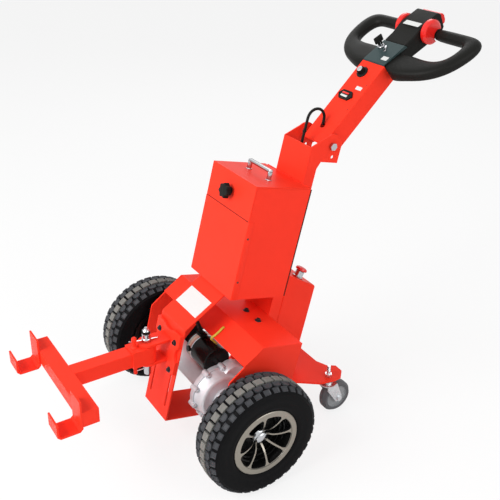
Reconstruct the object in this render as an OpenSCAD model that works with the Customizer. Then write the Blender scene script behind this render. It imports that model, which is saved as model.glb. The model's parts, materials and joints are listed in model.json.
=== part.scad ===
// Electric tow tractor: a walk-behind tug with a battery box on a leaning column,
// a powered axle, two rear casters, a folding tiller and a swivelling tow hitch.
// Millimetres. X runs to the tiller, Y to the left, Z up; the ground is z = 0.

/* [Drive wheels] */
// Outer radius of a drive tyre
tyre_r = 165; // [120:1:220]
// Width of a drive tyre
tyre_w = 103; // [60:1:140]
// Number of tread blocks in one row
tread_n = 36; // [24:1:48]
// Height of the tread blocks
tread_h = 6.5; // [4:0.5:10]
// Distance between the two tyre centre planes
track = 585; // [480:1:760]
// Outer radius of the rim flange
rim_r = 96; // [70:1:120]
// Width of the rim over its flanges
rim_w = 97; // [60:1:120]
// Radius of the tyre seat on the rim barrel
seat_r = 84; // [60:1:100]
// Number of curved spokes
spokes = 9; // [5:1:12]
// Width of one spoke
spoke_w = 11; // [6:1:18]
// Depth of the hub face behind the rim face
dish = 34; // [10:1:40]
// Outer radius of the wheel hub
hub_r = 27; // [22:1:40]
// Radius of the drive shaft
shaft_r = 15; // [10:0.5:20]

/* [Transaxle] */
// Radius of the axle tube
tube_r = 37; // [25:1:45]
// Free length between axle tube end and wheel hub
tube_gap = 6; // [5:1:12]
// Radius of the gear casing round the axle
case_r = 78; // [60:1:84]
// Gear casing, its face towards the right wheel
case_y = -110; // [-130:1:-90]
// Length of the gear casing along the axle
case_len = 48; // [30:1:70]
// Radius of the motor
motor_r = 47; // [35:1:55]
// Length of the motor body
motor_len = 104; // [70:1:160]
// Motor axis, distance behind the axle
motor_x = 3; // [-20:1:20]
// Motor axis, height above the axle
motor_rise = 103; // [90:1:120]

/* [Battery box] */
// Lean of the column and box towards the tiller
tilt = 13.3; // [0:0.1:25]
// Lower front edge of the box, distance behind the axle
box_x = 30; // [0:1:80]
// Lower front edge of the box, height above the ground
box_z = 460.6; // [400:0.1:540]
// Depth of the box
box_d = 181.5; // [140:0.5:240]
// Width of the box
box_w = 211; // [160:1:280]
// Height of the box with its lid
box_h = 317; // [240:1:400]
// Sheet thickness of box and lid
sheet = 3; // [2:0.5:5]
// Height of the lid's front skirt
skirt = 95; // [40:1:160]
// Gap round the lid
lid_gap = 0.3; // [0.2:0.1:1]
// Distance between the handle posts
grip_span = 86; // [60:1:120]
// Height of the handle over the lid
grip_h = 34; // [25:1:50]
// Thickness of the handle rod
grip_d = 9; // [6:0.5:14]
// Radius of the lid's star knob
star_r = 16.5; // [10:0.5:25]
// Free room between battery pack and lid
pack_room = 102; // [30:1:160]

/* [Column and controller] */
// Width of the column
column_w = 123; // [100:1:160]
// Depth of the column
column_d = 36.5; // [28:0.5:60]
// Height of the column's front wall over the box floor
column_h = 416; // [380:1:480]
// Sheet thickness of column and tiller arm
wall = 4; // [3:0.5:6]
// Tiller pivot, distance behind the column front
pivot_u = 70.5; // [60:0.5:90]
// Tiller pivot, height over the box floor
pivot_w = 424; // [400:1:480]
// Radius of the fork ears round the pivot
ear_r = 33; // [25:1:40]
// Radius of the pivot bolt
pivot_r = 6; // [4:0.5:10]
// Radius of the lock hole in the fork ears
lock_r = 5; // [3:0.5:8]
// Distance of the lock hole from the pivot
lock_arm = 32; // [20:1:40]
// Width of the controller box
ctrl_w = 126; // [100:1:160]
// Depth of the controller box
ctrl_d = 110; // [80:1:140]
// Height of the controller box's rear edge over the box floor
ctrl_h = 4.6; // [-40:0.1:40]
// Slope of the controller box top
ctrl_slope = 19; // [0:1:35]
// Radius of the emergency stop button
stop_r = 19; // [12:0.5:25]

/* [Chassis sheets] */
// Width of the spine plate
spine_w = 127; // [100:1:160]
// Thickness of the spine plate
spine_t = 5; // [3:0.5:8]
// Spine front plate, distance ahead of the box front
spine_u = 90; // [60:1:130]
// Spine foot, depth below the box floor
spine_w0 = 390; // [340:1:400]
// Length of the spine foot
foot_len = 200; // [120:1:230]
// Distance between the two hitch slots
slot_span = 86; // [60:1:100]
// Width of a hitch slot
slot_w = 11; // [8:0.5:16]
// Length of a hitch slot
slot_len = 222; // [120:1:240]
// Height of the hitch bracket
bracket_h = 120; // [90:1:150]
// Bottom of the saddle sides, depth below the box floor
saddle_d = 342; // [300:1:360]
// Drop of the saddle's sloping apron
apron = 51; // [20:1:60]
// Thickness of the saddle sheet
saddle_t = 4; // [3:0.5:6]
// Saddle deck, depth below the box floor
deck_w = 82; // [60:1:110]
// Front edge of the saddle deck behind the box front
deck_u = 53; // [30:1:80]
// Front edge of the saddle sides ahead of the box front
cheek_u = 32; // [10:1:50]

/* [Casters] */
// Top of the caster plate above the ground
plate_z = 130; // [118:1:150]
// Thickness of the caster plate
plate_t = 6; // [4:0.5:10]
// Distance of the caster stems behind the axle
caster_x = 344.6; // [300:0.1:400]
// Distance between the two caster stems
caster_span = 324; // [240:1:400]
// Radius of a caster wheel
caster_r = 50; // [35:1:52]
// Width of a caster wheel
caster_w = 32; // [20:1:45]
// Trail of a caster wheel behind its stem
trail = 30; // [15:1:45]
// Radius of a caster stem
stem_r = 6; // [4:0.5:10]

/* [Tiller] */
// Width of the tiller arm
arm_w = 88; // [70:1:100]
// Depth of the tiller arm
arm_d = 57; // [40:1:70]
// Length of the tiller arm from its pivot
arm_len = 258; // [180:1:340]
// Distance of the arm's top face over the pivot
arm_top = 13.5; // [10:0.5:20]
// Slope of the arm above level
arm_slope = 44.5; // [30:0.5:60]
// Slope of the head above level
head_slope = 28; // [10:1:44]
// Width of the head over both loops
head_w = 462; // [380:1:520]
// Radius of a drive paddle
paddle_r = 34; // [25:1:40]
// Width of a drive paddle
paddle_t = 18; // [12:1:24]
// Radius of a grip
hand_r = 17; // [13:0.5:20]
// Distance of the grips beyond the arm end
grip_s = 188; // [160:1:210]
// Width of the control tower
tower_w = 84; // [60:1:100]
// Radius of the speed dial
dial_r = 13; // [8:0.5:20]
// Radius of the tiller cable
cable_r = 4; // [3:0.5:6]

/* [Tow hitch] */
// Tow bar height above the ground, at its centre
bar_z = 305; // [240:1:360]
// Outer size of the square tow bar
bar = 42; // [30:1:60]
// Outer size of the square receiver
sleeve = 50; // [38:1:70]
// Distance of the hitch pivot ahead of the axle
hitch_x = 167; // [155:1:220]
// Length of the receiver ahead of the pivot
sleeve_len = 52; // [40:1:90]
// Radius of the hitch pivot pin
hitch_r = 10; // [6:0.5:14]
// Distance of the drop pin ahead of the pivot
drop_x = 36; // [28:1:60]
// Radius of the drop pin
drop_r = 7.5; // [5:0.5:10]
// Cross bar front face, distance ahead of the axle
cross_x = 421; // [340:1:520]
// Length of the cross bar
cross_len = 354; // [260:1:460]
// Width of one tow hook
hook_w = 59; // [30:1:80]
// Plate thickness of a tow hook
hook_t = 5; // [3:0.5:8]
// Clear mouth of a tow hook
hook_gap = 55; // [30:1:80]
// Height of a tow hook's lip
lip_h = 39; // [20:1:60]
// Height of a tow hook's back plate
back_h = 88; // [60:1:110]

/* [Clearances] */
// Radial clearance of turning shafts in their bores
run = 0.05; // [0.02:0.01:0.1]
// Side clearance between turning and fixed faces
side_gap = 1; // [0.5:0.1:3]
// Side clearance between drive tyres and saddle
tyre_gap = 17; // [10:1:30]

/* [Hidden] */
$fn = 64;
ct = cos(tilt);
st = sin(tilt);
wheel_y = track / 2;
hub_y = rim_w / 2 - dish;
tube_y = wheel_y - rim_w / 2 + 4 - tube_gap;
col_u = box_d;
col_b = box_d + column_d;
pv_u = col_u + pivot_u;
pv_x = box_x + pv_u * ct + pivot_w * st;
pv_z = box_z - pv_u * st + pivot_w * ct;
lock_a = 70 - tilt;
web_w = column_h * 0.894;
back_w = pivot_w * 0.802;
saddle_w = track - tyre_w - 2 * tyre_gap;
pack_h = box_h - pack_room;
foot_drop = spine_w0 - spine_t - box_x * st - (box_z - tyre_r) * ct;
ctrl_u = col_b + ctrl_d;
ctrl_top = ctrl_h + (ctrl_d * tan(ctrl_slope));
head_x = pv_x + arm_len * cos(arm_slope) - arm_top * sin(arm_slope);
head_z = pv_z + arm_len * sin(arm_slope) + arm_top * cos(arm_slope);
tower_s = grip_s + 40;
head_n = -20;
tower_n = 26;
belly = 14;
nose_x = cross_x + hook_t + hook_gap + hook_t;
tail_x = head_x + (tower_s + belly) * cos(head_slope) - (tower_n - 14) * sin(head_slope);
mid_x = (tail_x - nose_x) / 2;
hinge_u = box_d - 4;
hinge_w = box_h - sheet / 2;
clevis_x = hitch_x;
ear_z = sleeve / 2 + side_gap;
br_u = -spine_u - spine_t / 2;
br_t = 10;

// Depth below the box floor at which a line of the leaning body meets a level
function level(u, z) = (z - box_z + u * st) / ct;

module placed() translate([-mid_x, 0, 0]) children();
module leaning() placed() translate([box_x, 0, box_z]) rotate([0, tilt, 0]) children();
module both() { children(); mirror([0, 1, 0]) children(); }

// A plate cut to an outline in the X-Z plane, from y0 to y0 + t
module slab(y0, t) translate([0, y0 + t, 0]) rotate([90, 0, 0]) linear_extrude(t) children();
module cross(r, y0, t) translate([0, y0 + t, 0]) rotate([90, 0, 0]) cylinder(r = r, h = t);
module spun() rotate([-90, 0, 0]) rotate_extrude() children();

module spine_plate() color([0.78, 0.08, 0.06]) leaning() difference() {
    o = spine_t * tan(22.5);
    u = spine_u + spine_t / 2;
    slab(-spine_w / 2, spine_w) polygon([[foot_len - u, -spine_w0], [-u, -spine_w0], [-u, 13 - u],
        [13, 0], [col_u, 0], [col_u, -spine_t], [13 + o, -spine_t], [spine_t - u, 13 - u - o],
        [spine_t - u, spine_t - spine_w0], [foot_len - u, spine_t - spine_w0]]);
    for (s = [-1, 1]) translate([-u - 1, s * slot_span / 2 - slot_w / 2, 38 - spine_w0])
        cube([spine_t + 2, slot_w, slot_len]);
}

module saddle_side() difference() {
    slab(saddle_w / 2 - saddle_t, saddle_t) polygon([[-cheek_u, -deck_w - (deck_u + cheek_u) * 1.13],
        [deck_u - 3, -deck_w], [col_u, -deck_w], [col_u, -saddle_d * 0.585], [box_d * 0.485, -saddle_d],
        [-cheek_u / 4, -saddle_d], [-cheek_u, -saddle_d * 0.877]]);
    rotate([0, -tilt, 0]) translate([-box_x, 0, tyre_r - box_z]) cross(tube_r, 0, saddle_w);
}

module saddle() color([0.78, 0.08, 0.06]) leaning() {
    o = saddle_t * sin(45);
    slab(-saddle_w / 2, saddle_w) polygon([[col_u, -deck_w], [deck_u, -deck_w],
        [deck_u - apron, -deck_w - apron], [deck_u - apron + o, -deck_w - apron - o],
        [deck_u + saddle_t * tan(22.5), -deck_w - saddle_t], [col_u, -deck_w - saddle_t]]);
    both() saddle_side();
}

module column_side() difference() {
    slab(column_w / 2 - wall, wall) {
        polygon([[col_u, level(col_u, plate_z)], [col_u, column_h], [pv_u - 12, pivot_w + ear_r * 0.92],
            [pv_u + ear_r, pivot_w], [pv_u + ear_r, pivot_w - 46], [col_b + 9, pivot_w - 46],
            [col_b, pivot_w - 66], [col_b, level(col_b, plate_z)]]);
        translate([pv_u, pivot_w]) circle(ear_r);
    }
    translate([pv_u, 0, pivot_w]) cross(pivot_r, 0, column_w);
    translate([pv_u + lock_arm * cos(lock_a + 14), 0, pivot_w - lock_arm * sin(lock_a + 14)])
        cross(lock_r, 0, column_w);
}

module column() color([0.78, 0.08, 0.06]) leaning() {
    inner = column_w - 2 * wall;
    slab(-inner / 2, inner) polygon([[col_u, level(col_u, plate_z)], [col_u, column_h],
        [col_u + wall, column_h], [col_u + wall, level(col_u + wall, plate_z)]]);
    slab(-inner / 2, inner) polygon([[col_b - wall, level(col_b - wall, plate_z)], [col_b - wall, back_w],
        [col_b, back_w], [col_b, level(col_b, plate_z)]]);
    translate([col_u + wall, -inner / 2, web_w]) cube([column_d - 2 * wall, inner, wall]);
    translate([col_b - wall, -inner / 2, back_w - 1]) cube([wall, inner, web_w + wall - back_w + 1]);
}

module column_sides() color([0.78, 0.08, 0.06]) leaning() both() column_side();

module controller_box() color([0.78, 0.08, 0.06]) leaning()
    slab(-ctrl_w / 2, ctrl_w) polygon([[col_b, level(col_b, plate_z)], [col_b, ctrl_top],
        [ctrl_u - 4, ctrl_h + 1.4], [ctrl_u, ctrl_h - 3], [ctrl_u, level(ctrl_u, plate_z)]]);

module caster_plate() color([0.78, 0.08, 0.06]) placed() translate([0, 0, plate_z - plate_t]) {
    x = caster_x;
    y = caster_span / 2;
    edge = [[0.377, 0.407], [0.74, 0.877], [0.81, 0.988], [0.876, 1.093], [1.021, 1.16], [1.085, 1.142],
        [1.149, 1], [1.152, 0.815], [1.085, 0.716], [1.045, 0.512]];
    linear_extrude(plate_t) difference() {
        polygon(concat([for (e = edge) [e[0] * x, -e[1] * y]],
            [for (i = [len(edge) - 1:-1:0]) [edge[i][0] * x, edge[i][1] * y]]));
        for (s = [-1, 1]) translate([x, s * y]) circle(stem_r);
    }
}

module battery_box() color([0.80, 0.07, 0.05]) leaning() {
    w = box_w / 2;
    top = box_h - sheet - lid_gap;
    low = box_h - skirt - lid_gap;
    translate([0, -w, 0]) cube([box_d, box_w, sheet]);
    translate([0, -w, 0]) cube([sheet, box_w, low]);
    translate([box_d - sheet, -w, 0]) cube([sheet, box_w, top - 5]);
    both() slab(w - sheet, sheet) polygon([[0, 0], [0, low], [sheet + lid_gap, low], [sheet + lid_gap, top],
        [box_d, top], [box_d, 0]]);
    for (y = [-96, -18, 60]) {
        translate([hinge_u, 0, hinge_w]) cross(3, y, 36);
        translate([hinge_u, y, top - 9]) cube([4, 36, 9 + lid_gap]);
    }
    translate([hinge_u, 0, hinge_w]) cross(1.5, -60, 120);
}

module battery_pack() color([0.12, 0.12, 0.13]) leaning() translate([8, -box_w / 2 + 9, sheet])
    cube([box_d - 20, box_w - 18, pack_h]);

module lid() color([0.80, 0.07, 0.05]) leaning() {
    w = box_w / 2;
    difference() {
        union() {
            translate([0, -w, box_h - sheet]) cube([hinge_u - 3.5, box_w, sheet]);
            translate([0, -w, box_h - skirt]) cube([sheet, box_w, skirt]);
            for (y = [-59, 19]) {
                translate([hinge_u, 0, hinge_w]) cross(3, y, 40);
                translate([hinge_u - 4, y, hinge_w - 1.5]) cube([4, 40, 3]);
            }
        }
        translate([hinge_u, 0, hinge_w]) cross(1.5 + run, -w, box_w);
        translate([-1, 0, box_h - 57]) rotate([0, 90, 0]) cylinder(r = 4, h = sheet + 2);
    }
}

module lid_handle() color([0.85, 0.86, 0.88]) leaning() translate([70, 0, box_h]) {
    r = grip_d / 2;
    bend = 14;
    y = grip_span / 2;
    both() {
        translate([0, y, 0]) cylinder(r = r, h = grip_h - bend - r);
        translate([0, y, 0]) cylinder(r = r + 3.5, h = 3);
        translate([0, y - bend, grip_h - bend - r]) rotate([0, -90, 0]) rotate([0, 0, 0])
            rotate_extrude(angle = 90) translate([bend, 0]) circle(r, $fn = 32);
    }
    translate([0, 0, grip_h - r]) cross(r, bend - y, grip_span - 2 * bend);
}

module lid_knob() color([0.05, 0.05, 0.05]) leaning() translate([0, 0, box_h - 57]) rotate([0, -90, 0]) {
    translate([0, 0, -sheet]) cylinder(r = 4, h = sheet + 4);
    cylinder(r = 8, h = 7);
    translate([0, 0, 7]) linear_extrude(14) difference() {
        circle(star_r);
        for (a = [0:60:300]) rotate(a) translate([star_r + 3, 0]) circle(6);
    }
}

module stop_button() color([0.75, 0.04, 0.04]) leaning()
    translate([col_b + 54, -38, ctrl_top - 54 * tan(ctrl_slope)]) rotate([0, ctrl_slope, 0]) rotate_extrude()
        polygon([[0, 0], [14, 0], [14, 9], [10, 9], [10, 14], [stop_r, 16], [stop_r, 22],
            [stop_r - 5, 27], [0, 28]]);

module gear_casing() color([0.70, 0.71, 0.72]) placed() translate([0, 0, tyre_r]) difference() {
    flare_r = motor_rise - motor_r - 4;
    union() {
        cross(tube_r, -tube_y, 2 * tube_y);
        cross(case_r, case_y, case_len);
        cross(case_r - 16, case_y - 12, 13);
        translate([motor_x, 0, motor_rise]) cross(motor_r + 9, case_y, case_len);
        slab(case_y, case_len) polygon([[-62, 46], [motor_x - 54, motor_rise - 8],
            [motor_x + 54, motor_rise - 8], [62, 46]]);
        for (a = [20:60:320]) rotate([0, -a, 0]) translate([case_r, 0, 0]) cross(8, case_y + 8, 20);
        rotate([0, tilt, 0]) translate([-22, case_y + 4, -foot_drop]) cube([44, case_len - 8, 30]);
        translate([0, case_y + case_len - 1, 0]) spun()
            polygon([[0, 0], [flare_r, 0], [tube_r, 46], [0, 46]]);
    }
    cross(shaft_r + run, -tube_y - 1, 2 * tube_y + 2);
}

module motor() color([0.06, 0.06, 0.07]) placed()
    translate([motor_x, case_y + case_len, tyre_r + motor_rise]) spun()
        polygon([[0, 0], [motor_r, 0], [motor_r, motor_len - 24], [motor_r + 2, motor_len - 24],
            [motor_r + 2, motor_len - 8], [motor_r - 4, motor_len], [16, motor_len],
            [16, motor_len + 12], [0, motor_len + 12]]);

module hitch_bracket() color([0.78, 0.08, 0.06]) {
    zc = level(br_u, bar_z);
    leaning() difference() {
        translate([br_u - br_t, -spine_w / 2, zc - bracket_h / 2]) cube([br_t, spine_w, bracket_h]);
        for (s = [-1, 1]) translate([br_u - br_t - 1, s * (spine_w / 2 + 14), zc]) rotate([0, 90, 0])
            cylinder(r = 26, h = br_t + 2);
        for (s = [-1, 1]) translate([br_u - br_t - 1, 0, zc + s * (bracket_h / 2 + 50)]) rotate([0, 90, 0])
            cylinder(r = 58, h = br_t + 2);
    }
    placed() for (z = [bar_z + ear_z, bar_z - ear_z - 8])
        translate([0, 0, z]) linear_extrude(8) difference() {
        union() {
            translate([-clevis_x, 0]) circle(sleeve / 2);
            x = box_x + br_u * ct + level(br_u, z + (z > bar_z ? 0 : 8)) * st - 5;
            polygon([[-clevis_x, -sleeve / 2], [x, -sleeve / 2], [x, sleeve / 2], [-clevis_x, sleeve / 2]]);
        }
        translate([-clevis_x, 0]) circle(hitch_r);
    }
}

module hitch_pin() color([0.85, 0.86, 0.88]) placed() translate([-clevis_x, 0, bar_z]) {
    e = ear_z + 8;
    translate([0, 0, -e - 28]) cylinder(r = hitch_r, h = 2 * e + 66);
    translate([0, 0, e]) cylinder(r = 19, h = 3);
    translate([0, 0, e + 3]) cylinder(r = 17, h = 15, $fn = 6);
    translate([0, 0, -e - 15]) cylinder(r = 17, h = 15, $fn = 6);
}

module receiver() color([0.78, 0.08, 0.06]) placed() translate([-clevis_x, 0, bar_z]) difference() {
    h = sleeve / 2;
    b = bar / 2 + 0.3;
    union() {
        translate([-sleeve_len, -h, -h]) cube([sleeve_len, sleeve, sleeve]);
        translate([0, 0, -h]) cylinder(r = h, h = sleeve);
    }
    translate([-sleeve_len - 1, -b, -b]) cube([sleeve_len - hitch_r - 8, 2 * b, 2 * b]);
    translate([0, 0, -h - 1]) cylinder(r = hitch_r + run, h = sleeve + 2);
    translate([-drop_x, 0, -h - 1]) cylinder(r = drop_r, h = sleeve + 2);
}

module tow_bar() color([0.78, 0.08, 0.06]) placed() translate([0, 0, bar_z]) difference() {
    len = cross_x - bar - clevis_x - hitch_r - 12;
    b = bar / 2;
    translate([-cross_x + bar, -b, -b]) cube([len, bar, bar]);
    translate([-cross_x + bar - 1, -b + wall, -b + wall]) cube([len + 2, bar - 2 * wall, bar - 2 * wall]);
    translate([-clevis_x - drop_x, 0, -b - 1]) cylinder(r = drop_r, h = bar + 2);
}

module cross_bar() color([0.78, 0.08, 0.06]) placed()
    translate([-cross_x, -cross_len / 2, bar_z - bar / 2]) cube([bar, cross_len, bar]);

module tow_hooks() color([0.78, 0.08, 0.06]) placed() both()
    translate([-cross_x, 0, bar_z - bar / 2 - 13]) slab(cross_len / 2 - hook_w, hook_w) {
        t = hook_t;
        g = hook_gap;
        polygon([[0, t + 6], [0, back_h], [-t, back_h], [-t, t + 6], [-t - 6, t], [6 - t - g, t],
            [-t - g, t + 6], [-t - g, t + lip_h], [-2 * t - g, t + lip_h], [-2 * t - g, 8],
            [-2 * t - g + 8, 0], [-8, 0], [0, 8]]);
    }

module drop_pin() color([0.75, 0.06, 0.05]) placed() translate([-clevis_x - drop_x, 0, bar_z]) {
    h = sleeve / 2;
    rotate_extrude() polygon([[0, -h - 36], [drop_r - 2, -h - 36], [drop_r, -h - 32], [drop_r, h], [11, h],
        [11, h + 5], [drop_r, h + 8], [drop_r, h + 16], [12, h + 20], [13, h + 26], [9, h + 31], [0, h + 33]]);
}

// Outline of one row of tread blocks, with a block or a gap straight below the axle
function row_outline(r, off) = [for (i = [0:tread_n - 1]) for (k = [[-1, 0], [-1, 1], [1, 1], [1, 0]])
    let (a = 90 + (i + off) * 360 / tread_n + k[0] * 125 / tread_n,
        q = k[1] * r + (1 - k[1]) * (tyre_r - tread_h - 2)) [q * cos(a), q * sin(a)]];

module tread_row(y, w, r, off) rotate([-90, 0, 0]) translate([0, 0, y]) linear_extrude(w) difference() {
    polygon(row_outline(r / cos(125 / tread_n), off));
    circle(r = tyre_r - tread_h - 12);
}

module tyre() {
    h = tyre_w / 2;
    c = tyre_r - tread_h;
    g = rim_r + 0.4;
    spun($fn = 40) polygon([[seat_r, 4 - rim_w / 2], [g, 4 - rim_w / 2], [g, 1 - h], [tyre_r * 0.758, -h],
        [c - 8, 3 - h], [c - 2, 12 - h], [c, 22 - h], [c, h - 22], [c - 2, h - 12], [c - 8, h - 3],
        [tyre_r * 0.758, h], [g, h - 1], [g, rim_w / 2 - 4], [seat_r, rim_w / 2 - 4]]);
    tread_row(-tyre_w * 0.11, tyre_w * 0.22, tyre_r, 0);
    both() tread_row(tyre_w * 0.145, tyre_w * 0.175, tyre_r - 1.5, 0.5);
}

module spoke() intersection() {
    difference() {
        translate([0, 72]) circle(72 + spoke_w / 2);
        translate([0, 72]) circle(72 - spoke_w / 2);
    }
    translate([hub_r - 4, -spoke_w]) square([seat_r, seat_r]);
    circle(seat_r - 4);
}

module rim() {
    h = rim_w / 2;
    difference() {
        union() {
            spun() polygon([[seat_r - 6, -h], [rim_r, -h], [rim_r, 3.7 - h], [seat_r, 3.7 - h],
                [seat_r, h - 3.7], [rim_r, h - 3.7], [rim_r, h], [rim_r - 5, h], [seat_r - 8, h - 5],
                [seat_r - 8, h - 16], [seat_r - 5, h - 24], [seat_r - 5, -h + 8]]);
            spun() polygon([[0, 4 - h], [hub_r - 5, 4 - h], [hub_r, hub_y - 18], [hub_r, hub_y], [0, hub_y]]);
            intersection() {
                rotate([-90, 0, 0]) translate([0, 0, -h]) linear_extrude(rim_w)
                    for (i = [0:spokes - 1]) rotate(i * 360 / spokes) spoke();
                spun() polygon([[0, hub_y - 16], [hub_r, hub_y - 16], [seat_r - 5, h - 22],
                    [seat_r - 4, h - 7], [hub_r, hub_y], [0, hub_y]]);
            }
        }
        cross(shaft_r, -rim_w, 2 * rim_w);
    }
}

module shaft() {
    y = wheel_y + hub_y;
    spun() polygon([[0, wheel_y / 5], [shaft_r, wheel_y / 5], [shaft_r, y], [23, y], [23, y + 3], [17, y + 9],
        [15, y + 13], [0, y + 14]]);
}

module on_left() placed() translate([0, wheel_y, tyre_r]) children();
module on_right() placed() mirror([0, 1, 0]) translate([0, wheel_y, tyre_r]) children();
module tyre_left() color([0.05, 0.05, 0.05]) on_left() tyre();
module tyre_right() color([0.05, 0.05, 0.05]) on_right() tyre();
module rim_left() color([0.75, 0.76, 0.78]) on_left() rim();
module rim_right() color([0.75, 0.76, 0.78]) on_right() rim();
module shaft_left() color([0.85, 0.86, 0.88]) on_left() translate([0, -wheel_y, 0]) shaft();
module shaft_right() color([0.85, 0.86, 0.88]) on_right() translate([0, -wheel_y, 0]) shaft();

module caster_stems() color([0.72, 0.73, 0.75]) placed() both() translate([caster_x, caster_span / 2, 0]) {
    translate([0, 0, 2 * caster_r - 3]) cylinder(r = 10, h = 6);
    translate([0, 0, 2 * caster_r - 3]) cylinder(r = stem_r, h = plate_z + 20 - 2 * caster_r + 3);
    translate([0, 0, plate_z]) cylinder(r = 11, h = 10, $fn = 6);
    translate([0, 0, plate_z - plate_t - 10]) cylinder(r = 11, h = 10, $fn = 6);
}

module fork() {
    top = 2 * caster_r + 4;
    leg = caster_w / 2 + 3;
    difference() {
        union() {
            translate([0, 0, top]) cylinder(r = 26, h = 4);
            translate([0, 0, top]) cylinder(r = 14, h = plate_z - plate_t - 10 - side_gap - top);
            translate([-14, -leg - 3, top]) cube([trail + 4, 2 * leg + 6, 4]);
            both() slab(leg, 3) polygon([[-14, top + 4], [trail - 10, top + 4], [trail + 11, caster_r + 6],
                [trail + 11, caster_r - 10], [trail - 9, caster_r - 10], [-14, top - 14]]);
        }
        translate([0, 0, top - 1]) cylinder(r = stem_r + run, h = plate_z - top);
    }
    translate([trail, 0, caster_r]) {
        cross(5, -leg - 1, 2 * leg + 2);
        cross(8, leg + 3, 5);
        mirror([0, 1, 0]) cross(8, leg + 3, 5);
    }
}

module caster_hub() {
    h = caster_w / 2;
    r = caster_r - 14;
    spun() polygon([[5 + run, -h - 1], [11, -h - 1], [11, 4 - h], [r - 2, 6 - h], [r, 2 - h], [r, h - 2],
        [r - 2, h - 6], [11, h - 4], [11, h + 1], [5 + run, h + 1]]);
}

module caster_tyre() {
    h = caster_w / 2;
    spun($fn = 40) polygon([[caster_r - 14, 2 - h], [caster_r - 6, -h], [caster_r, 8 - h], [caster_r, h - 8],
        [caster_r - 6, h], [caster_r - 14, h - 2]]);
}

module caster_left() placed() translate([caster_x, caster_span / 2, 0]) children();
module caster_right() placed() mirror([0, 1, 0]) translate([caster_x, caster_span / 2, 0]) children();
module rolling() translate([trail, 0, caster_r]) children();
module fork_left() color([0.70, 0.71, 0.73]) caster_left() fork();
module fork_right() color([0.70, 0.71, 0.73]) caster_right() fork();
module caster_hub_left() color([0.40, 0.41, 0.42]) caster_left() rolling() caster_hub();
module caster_hub_right() color([0.40, 0.41, 0.42]) caster_right() rolling() caster_hub();
module caster_tyre_left() color([0.35, 0.35, 0.36]) caster_left() rolling() caster_tyre();
module caster_tyre_right() color([0.35, 0.35, 0.36]) caster_right() rolling() caster_tyre();

module at_arm() placed() translate([pv_x, 0, pv_z]) rotate([0, -arm_slope, 0]) children();
module at_head() placed() translate([head_x, 0, head_z]) rotate([0, -head_slope, 0]) children();

module tiller_arm() color([0.78, 0.08, 0.06]) at_arm() {
    low = arm_top - arm_d;
    w = arm_w / 2;
    difference() {
        slab(-w, arm_w) polygon([[-16, 4], [-10, arm_top], [arm_len, arm_top], [arm_len, low], [18, low],
            [-12, -22]]);
        slab(wall - w, arm_w - 2 * wall) polygon([[-40, arm_top - wall], [arm_len - wall, arm_top - wall],
            [arm_len - wall, low + wall], [20, low + wall], [-2, -34], [-40, -34]]);
        cross(pivot_r + run, -w - 1, arm_w + 2);
        rotate([0, 5, 0]) translate([lock_arm, 0, 0]) cross(lock_r, -w - 1, arm_w + 2);
        translate([38, 7, 0]) cylinder(r = cable_r + 4, h = 40);
    }
}

module tiller_bolt() color([0.85, 0.86, 0.88]) leaning() translate([pv_u, 0, pivot_w]) {
    y = column_w / 2;
    cross(pivot_r, -y - 2, column_w + 4);
    both() {
        translate([0, y, 0]) cross(11, 0, 9, $fn = 6);
        cross(12, arm_w / 2 + side_gap, y - wall - arm_w / 2 - side_gap);
    }
}

module tiller_cable() color([0.04, 0.04, 0.04]) leaning() translate([col_u + pivot_u * 0.305, 7, 0]) {
    r = pivot_u * 0.4057;
    foot = web_w + wall;
    crown = pivot_w * 1.127;
    gland = pivot_w * 1.094;
    translate([0, 0, foot]) cylinder(r = cable_r, h = crown - foot, $fn = 32);
    translate([0, 0, foot]) cylinder(r = cable_r + 3, h = 6, $fn = 32);
    translate([r, 0, crown]) rotate([90, 0, 0]) rotate_extrude(angle = 180) translate([r, 0])
        circle(cable_r, $fn = 32);
    translate([2 * r, 0, gland]) cylinder(r = cable_r, h = crown - gland, $fn = 32);
}

// A smooth line through points, four steps from one to the next
function between(a, b, c, d, t) = b + (c - a) * t / 2 + (2 * a - 5 * b + 4 * c - d) * t * t / 2
    + (3 * b - a - 3 * c + d) * t * t * t / 2;
function curve(p) = concat([for (i = [0:len(p) - 2]) for (t = [0:0.25:0.75])
    between(p[max(i - 1, 0)], p[i], p[i + 1], p[min(i + 2, len(p) - 1)], t)], [p[len(p) - 1]]);

// One loop of the head, seen from above: broad beside the arm, round at the grip
module loop_outline() {
    outer = [[-5, 30], [-8, 66], [-5, 92], [2, 115], [10, 140], [22, 165], [40, 188], [62, 206], [88, 219],
        [115, 226], [142, 230], [166, 231], [185, 227], [198, 216], [204, 200], [205, 180]];
    window = [[171, 165], [161, 178], [145, 184], [124, 186], [101, 182], [83, 172], [73, 154], [68, 130],
        [66, 95], [67, 60], [68, 30]];
    scale([grip_s / 188, head_w / 462]) polygon(concat(curve(outer), curve(window)));
}

module loop_layer(n, t, inset) translate([0, 0, head_n + n]) linear_extrude(t) intersection() {
    offset(delta = -inset) loop_outline();
    translate([-grip_s, arm_w / 2 + 0.6]) square([3 * grip_s, head_w]);
}

module tiller_head() color([0.05, 0.05, 0.06]) at_head() {
    slab(-arm_w / 2 - 3, arm_w + 6) polygon([[0.3, 0], [62, 0], [62, -52],
        [0.3 + 52 * tan(arm_slope - head_slope), -52]]);
    both() {
        loop_layer(-hand_r + 6, 2 * hand_r - 12, 0);
        loop_layer(hand_r - 6, 6, 5);
        loop_layer(-hand_r, 6, 5);
        translate([grip_s, 0, head_n]) cross(hand_r, tower_w / 2, head_w / 2 - tower_w / 2 - 45);
    }
}

module head_panel() color([0.35, 0.40, 0.46]) at_head() slab(-tower_w / 2, tower_w)
    polygon([[0, 0], [2, 4], [84, 10], [92, 0]]);

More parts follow.
